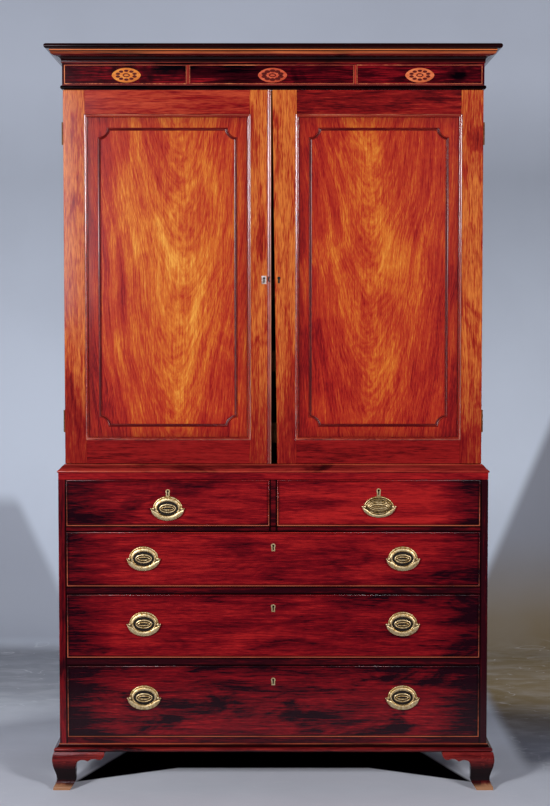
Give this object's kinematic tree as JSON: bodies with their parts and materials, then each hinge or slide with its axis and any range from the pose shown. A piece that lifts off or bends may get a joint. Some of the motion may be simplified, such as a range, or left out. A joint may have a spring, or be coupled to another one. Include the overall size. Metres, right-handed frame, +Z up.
{
  "type": "linen press",
  "caption": "Mahogany linen press: a two-door cupboard of sliding linen trays over a chest of drawers, with inlaid frieze, cornice and ogee bracket feet.",
  "frame": {"origin": "on the floor, under the middle of the whole object's bounding box", "axes": "+Z up, +X to the right as seen from the front, +Y from the front to the back"},
  "size_m": [1.281, 0.592, 2.116],
  "materials": {
    "mahogany": "french polished red mahogany",
    "figured_mahogany": "french polished crotch mahogany veneer",
    "frieze_wood": "polished dark veneer with light stringing",
    "oak": "bare oak",
    "pine": "bare aged pine",
    "brass": "aged lacquered brass"
  },
  "bodies": {
    "carcase": {"upper_side_left": "mahogany", "upper_side_right": "mahogany", "upper_top_board": "pine", "upper_bottom_board": "pine", "upper_back_boards": "pine", "frieze": "frieze_wood", "cornice_moulding": "mahogany", "linen_tray_1": "oak", "linen_tray_2": "oak", "linen_tray_3": "oak", "lower_side_left": "mahogany", "lower_side_right": "mahogany", "lower_back_boards": "pine", "lower_top": "mahogany", "lower_bottom": "mahogany", "drawer_divider_1": "mahogany", "drawer_divider_2": "mahogany", "drawer_divider_3": "mahogany", "foot_front_left": "mahogany", "foot_front_right": "mahogany", "foot_back_left": "mahogany", "foot_back_right": "mahogany", "hinge_left_upper_case_leaf": "brass", "hinge_left_lower_case_leaf": "brass", "hinge_right_upper_case_leaf": "brass", "hinge_right_lower_case_leaf": "brass"},
    "door_left": {"door_left_frame": "mahogany", "door_left_panel": "figured_mahogany", "hinge_left_upper_door_leaf": "brass", "hinge_left_lower_door_leaf": "brass"},
    "door_right": {"door_right_frame": "mahogany", "door_right_panel": "figured_mahogany", "hinge_right_upper_door_leaf": "brass", "hinge_right_lower_door_leaf": "brass"},
    "drawer_long_3": {"drawer_long_3_front": "mahogany", "drawer_long_3_box": "oak", "handle_long_3_left_plate": "brass", "handle_long_3_right_plate": "brass"},
    "bail_long_3_left": {"handle_long_3_left_bail": "brass"},
    "bail_long_3_right": {"handle_long_3_right_bail": "brass"},
    "drawer_long_2": {"drawer_long_2_front": "mahogany", "drawer_long_2_box": "oak", "handle_long_2_left_plate": "brass", "handle_long_2_right_plate": "brass"},
    "bail_long_2_left": {"handle_long_2_left_bail": "brass"},
    "bail_long_2_right": {"handle_long_2_right_bail": "brass"},
    "drawer_long_1": {"drawer_long_1_front": "mahogany", "drawer_long_1_box": "oak", "handle_long_1_left_plate": "brass", "handle_long_1_right_plate": "brass"},
    "bail_long_1_left": {"handle_long_1_left_bail": "brass"},
    "bail_long_1_right": {"handle_long_1_right_bail": "brass"},
    "drawer_short_left": {"drawer_short_left_front": "mahogany", "drawer_short_left_box": "oak", "handle_short_left_plate": "brass"},
    "bail_short_left": {"handle_short_left_bail": "brass"},
    "drawer_short_right": {"drawer_short_right_front": "mahogany", "drawer_short_right_box": "oak", "handle_short_right_plate": "brass"},
    "bail_short_right": {"handle_short_right_bail": "brass"}
  },
  "joints": [
    {"name": "door_left_hinge", "type": "hinge", "parent": "carcase", "child": "door_left", "pos_m": [-0.5965, -0.2226, 1.463], "axis": [0, 0, -1], "range_deg": [0, 175]},
    {"name": "door_right_hinge", "type": "hinge", "parent": "carcase", "child": "door_right", "pos_m": [0.5965, -0.2226, 1.463], "axis": [0, 0, 1], "range_deg": [0, 175]},
    {"name": "drawer_long_3_slide", "type": "slide", "parent": "carcase", "child": "drawer_long_3", "axis": [0, -1, 0], "range_m": [0, 0.4]},
    {"name": "bail_long_3_left_pivot", "type": "hinge", "parent": "drawer_long_3", "child": "bail_long_3_left", "pos_m": [-0.3695, -0.2716, 0.2641], "axis": [-1, 0, 0], "range_deg": [0, 165]},
    {"name": "bail_long_3_right_pivot", "type": "hinge", "parent": "drawer_long_3", "child": "bail_long_3_right", "pos_m": [0.3695, -0.2716, 0.2641], "axis": [-1, 0, 0], "range_deg": [0, 165]},
    {"name": "drawer_long_2_slide", "type": "slide", "parent": "carcase", "child": "drawer_long_2", "axis": [0, -1, 0], "range_m": [0, 0.4]},
    {"name": "bail_long_2_left_pivot", "type": "hinge", "parent": "drawer_long_2", "child": "bail_long_2_left", "pos_m": [-0.3695, -0.2716, 0.4767], "axis": [-1, 0, 0], "range_deg": [0, 165]},
    {"name": "bail_long_2_right_pivot", "type": "hinge", "parent": "drawer_long_2", "child": "bail_long_2_right", "pos_m": [0.3695, -0.2716, 0.4767], "axis": [-1, 0, 0], "range_deg": [0, 165]},
    {"name": "drawer_long_1_slide", "type": "slide", "parent": "carcase", "child": "drawer_long_1", "axis": [0, -1, 0], "range_m": [0, 0.4]},
    {"name": "bail_long_1_left_pivot", "type": "hinge", "parent": "drawer_long_1", "child": "bail_long_1_left", "pos_m": [-0.3695, -0.2716, 0.6645], "axis": [-1, 0, 0], "range_deg": [0, 165]},
    {"name": "bail_long_1_right_pivot", "type": "hinge", "parent": "drawer_long_1", "child": "bail_long_1_right", "pos_m": [0.3695, -0.2716, 0.6645], "axis": [-1, 0, 0], "range_deg": [0, 165]},
    {"name": "drawer_short_left_slide", "type": "slide", "parent": "carcase", "child": "drawer_short_left", "axis": [0, -1, 0], "range_m": [0, 0.4]},
    {"name": "bail_short_left_pivot", "type": "hinge", "parent": "drawer_short_left", "child": "bail_short_left", "pos_m": [-0.3005, -0.2716, 0.8084], "axis": [-1, 0, 0], "range_deg": [0, 165]},
    {"name": "drawer_short_right_slide", "type": "slide", "parent": "carcase", "child": "drawer_short_right", "axis": [0, -1, 0], "range_m": [0, 0.4]},
    {"name": "bail_short_right_pivot", "type": "hinge", "parent": "drawer_short_right", "child": "bail_short_right", "pos_m": [0.3005, -0.2716, 0.8144], "axis": [-1, 0, 0], "range_deg": [0, 165]}
  ]
}
